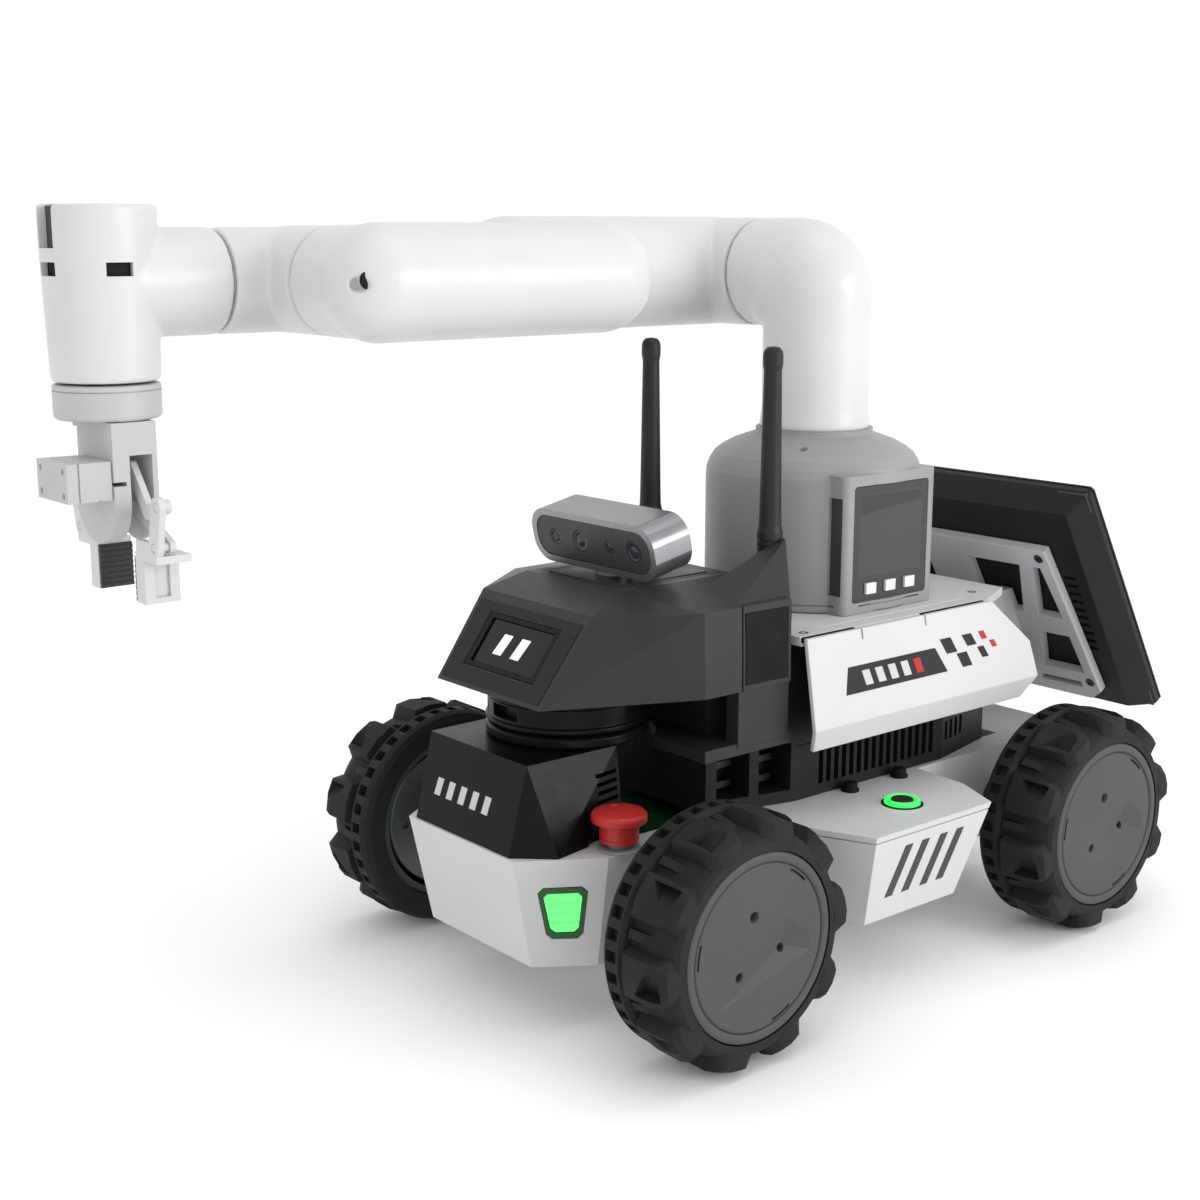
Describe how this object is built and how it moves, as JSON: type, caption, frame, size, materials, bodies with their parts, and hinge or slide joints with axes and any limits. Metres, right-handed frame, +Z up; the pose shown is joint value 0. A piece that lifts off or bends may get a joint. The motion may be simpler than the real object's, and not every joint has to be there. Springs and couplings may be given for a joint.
{
  "type": "wheeled desktop robot arm",
  "caption": "Small wheeled rover carrying a jointed arm with a two-finger gripper, a sensor head with a turning scanner, side doors, antennas and a tilted rear screen.",
  "frame": {"origin": "on the floor under the centre of the whole machine with the arm stretched forward", "axes": "+Z up, +X forward along the stretched arm, +Y to the rover's left"},
  "size_m": [0.45, 0.2126, 0.2938],
  "materials": {
    "white_plastic": "satin",
    "arm_white": "satin",
    "charcoal_plastic": "satin",
    "black_gloss": "gloss",
    "tyre_rubber": "matte",
    "hub_grey": "satin",
    "motor_metal": "satin",
    "red_plastic": "satin",
    "green_light": "gloss",
    "silver_metal": "satin",
    "dark_glass": "gloss",
    "light_grey": "satin",
    "bracket_grey": "satin",
    "dark_plastic": "matte",
    "antenna_black": "matte",
    "circuit_green": "satin",
    "battery_wrap": "satin",
    "key_white": "satin",
    "pad_rubber": "matte"
  },
  "bodies": {
    "chassis": {"chassis_tray": "white_plastic", "front_cowl": "black_gloss", "lidar_base": "black_gloss", "head_shell": "charcoal_plastic", "eye_screen": "dark_glass", "camera_body": "silver_metal", "camera_front": "dark_glass", "antenna_left": "antenna_black", "antenna_right": "antenna_black", "core_body": "dark_plastic", "top_deck": "white_plastic", "estop_base": "light_grey", "light_left": "green_light", "light_right": "green_light", "power_ring": "green_light", "screen_housing": "dark_plastic", "screen_glass": "dark_glass", "screen_bracket": "bracket_grey", "battery": "battery_wrap", "main_board": "circuit_green", "hub_motor_fl": "motor_metal", "hub_motor_fr": "motor_metal", "hub_motor_rl": "motor_metal", "hub_motor_rr": "motor_metal", "arm_base_housing": "light_grey", "arm_base_screen": "dark_glass", "j1_servo": "motor_metal"},
    "lidar_head": {"lidar_rotor": "black_gloss"},
    "door_l": {"door_left": "white_plastic"},
    "door_r": {"door_right": "white_plastic"},
    "estop": {"estop_button": "red_plastic"},
    "power": {"power_button": "charcoal_plastic"},
    "key_a": {"arm_button_a": "key_white"},
    "key_b": {"arm_button_b": "key_white"},
    "key_c": {"arm_button_c": "key_white"},
    "link1": {"link1_elbow": "arm_white"},
    "link2": {"link2_arm": "arm_white"},
    "link3": {"link3_arm": "arm_white"},
    "link4": {"link4_wrist": "arm_white"},
    "link5": {"link5_wrist_head": "arm_white"},
    "gripper": {"link6_flange": "light_grey", "gripper_body": "light_grey", "gripper_servo": "light_grey"},
    "lever_l": {"lever_left": "white_plastic"},
    "lever_r": {"lever_right": "white_plastic"},
    "follower_l": {"follower_left": "white_plastic"},
    "follower_r": {"follower_right": "white_plastic"},
    "finger_l": {"finger_left": "white_plastic", "pad_left": "pad_rubber"},
    "finger_r": {"finger_right": "white_plastic", "pad_right": "pad_rubber"},
    "wheel_fl": {"tyre_fl": "tyre_rubber", "hub_cap_fl": "hub_grey"},
    "wheel_fr": {"tyre_fr": "tyre_rubber", "hub_cap_fr": "hub_grey"},
    "wheel_rl": {"tyre_rl": "tyre_rubber", "hub_cap_rl": "hub_grey"},
    "wheel_rr": {"tyre_rr": "tyre_rubber", "hub_cap_rr": "hub_grey"}
  },
  "joints": [
    {"name": "wheel_fl_spin", "type": "hinge", "parent": "chassis", "child": "wheel_fl", "pos_m": [0.055, 0.086, 0.046], "axis": [0, 1, 0], "continuous": true},
    {"name": "wheel_fr_spin", "type": "hinge", "parent": "chassis", "child": "wheel_fr", "pos_m": [0.055, -0.086, 0.046], "axis": [0, 1, 0], "continuous": true},
    {"name": "wheel_rl_spin", "type": "hinge", "parent": "chassis", "child": "wheel_rl", "pos_m": [-0.145, 0.086, 0.046], "axis": [0, 1, 0], "continuous": true},
    {"name": "wheel_rr_spin", "type": "hinge", "parent": "chassis", "child": "wheel_rr", "pos_m": [-0.145, -0.086, 0.046], "axis": [0, 1, 0], "continuous": true},
    {"name": "lidar_spin", "type": "hinge", "parent": "chassis", "child": "lidar_head", "pos_m": [0.054, 0, 0.1105], "axis": [0, 0, 1], "continuous": true},
    {"name": "door_left_hinge", "type": "hinge", "parent": "chassis", "child": "door_l", "pos_m": [-0.045, 0.0587, 0.1357], "axis": [1, 0, 0], "range_deg": [0, 60]},
    {"name": "door_right_hinge", "type": "hinge", "parent": "chassis", "child": "door_r", "pos_m": [-0.045, -0.0587, 0.1357], "axis": [-1, 0, 0], "range_deg": [0, 60]},
    {"name": "estop_press", "type": "slide", "parent": "chassis", "child": "estop", "axis": [0, 0, -1], "range_m": [0, 0.002], "stiffness_N_per_m": 900},
    {"name": "power_press", "type": "slide", "parent": "chassis", "child": "power", "axis": [0, 0, -1], "range_m": [0, 0.0007], "stiffness_N_per_m": 400},
    {"name": "key_a_press", "type": "slide", "parent": "chassis", "child": "key_a", "axis": [0, -1, 0], "range_m": [0, 0.0005], "stiffness_N_per_m": 300},
    {"name": "key_b_press", "type": "slide", "parent": "chassis", "child": "key_b", "axis": [0, -1, 0], "range_m": [0, 0.0005], "stiffness_N_per_m": 300},
    {"name": "key_c_press", "type": "slide", "parent": "chassis", "child": "key_c", "axis": [0, -1, 0], "range_m": [0, 0.0005], "stiffness_N_per_m": 300},
    {"name": "arm_j1_base", "type": "hinge", "parent": "chassis", "child": "link1", "pos_m": [-0.077, 0, 0.2055], "axis": [0, 0, 1], "range_deg": [-165, 165]},
    {"name": "arm_j2_shoulder", "type": "hinge", "parent": "link1", "child": "link2", "pos_m": [-0.077, -0.032, 0.2678], "axis": [0, 1, 0], "range_deg": [-135, 15]},
    {"name": "arm_j3_elbow", "type": "hinge", "parent": "link2", "child": "link3", "pos_m": [0.0334, -0.032, 0.2678], "axis": [0, 1, 0], "range_deg": [-100, 25]},
    {"name": "arm_j4_wrist", "type": "hinge", "parent": "link3", "child": "link4", "pos_m": [0.1294, -0.033, 0.2678], "axis": [0, 1, 0], "range_deg": [-50, 85]},
    {"name": "arm_j5_wrist_roll", "type": "hinge", "parent": "link4", "child": "link5", "pos_m": [0.161, -0.064, 0.2678], "axis": [1, 0, 0], "range_deg": [-165, 165]},
    {"name": "arm_j6_flange", "type": "hinge", "parent": "link5", "child": "gripper", "pos_m": [0.202, -0.064, 0.235], "axis": [0, 0, 1], "range_deg": [-175, 175]},
    {"name": "grip_lever_left", "type": "hinge", "parent": "gripper", "child": "lever_l", "pos_m": [0.199, -0.0545, 0.2065], "axis": [1, 0, 0], "range_deg": [-42, 12]},
    {"name": "grip_lever_right", "type": "hinge", "parent": "gripper", "child": "lever_r", "pos_m": [0.199, -0.0705, 0.2065], "axis": [1, 0, 0], "range_deg": [-12, 42]},
    {"name": "grip_follower_left", "type": "hinge", "parent": "gripper", "child": "follower_l", "pos_m": [0.1964, -0.0575, 0.1925], "axis": [1, 0, 0], "range_deg": [-42, 12]},
    {"name": "grip_follower_right", "type": "hinge", "parent": "gripper", "child": "follower_r", "pos_m": [0.1964, -0.0675, 0.1925], "axis": [1, 0, 0], "range_deg": [-12, 42]},
    {"name": "finger_left_pivot", "type": "hinge", "parent": "lever_l", "child": "finger_l", "pos_m": [0.2015, -0.0305, 0.196], "axis": [1, 0, 0], "range_deg": [-12, 42]},
    {"name": "finger_right_pivot", "type": "hinge", "parent": "lever_r", "child": "finger_r", "pos_m": [0.2015, -0.0945, 0.196], "axis": [1, 0, 0], "range_deg": [-42, 12]}
  ],
  "couplings": [
    {"joint": "grip_lever_right", "follows": "grip_lever_left", "ratio": -1},
    {"joint": "grip_follower_left", "follows": "grip_lever_left", "ratio": 1},
    {"joint": "grip_follower_right", "follows": "grip_lever_left", "ratio": -1},
    {"joint": "finger_left_pivot", "follows": "grip_lever_left", "ratio": -1},
    {"joint": "finger_right_pivot", "follows": "grip_lever_left", "ratio": 1}
  ]
}
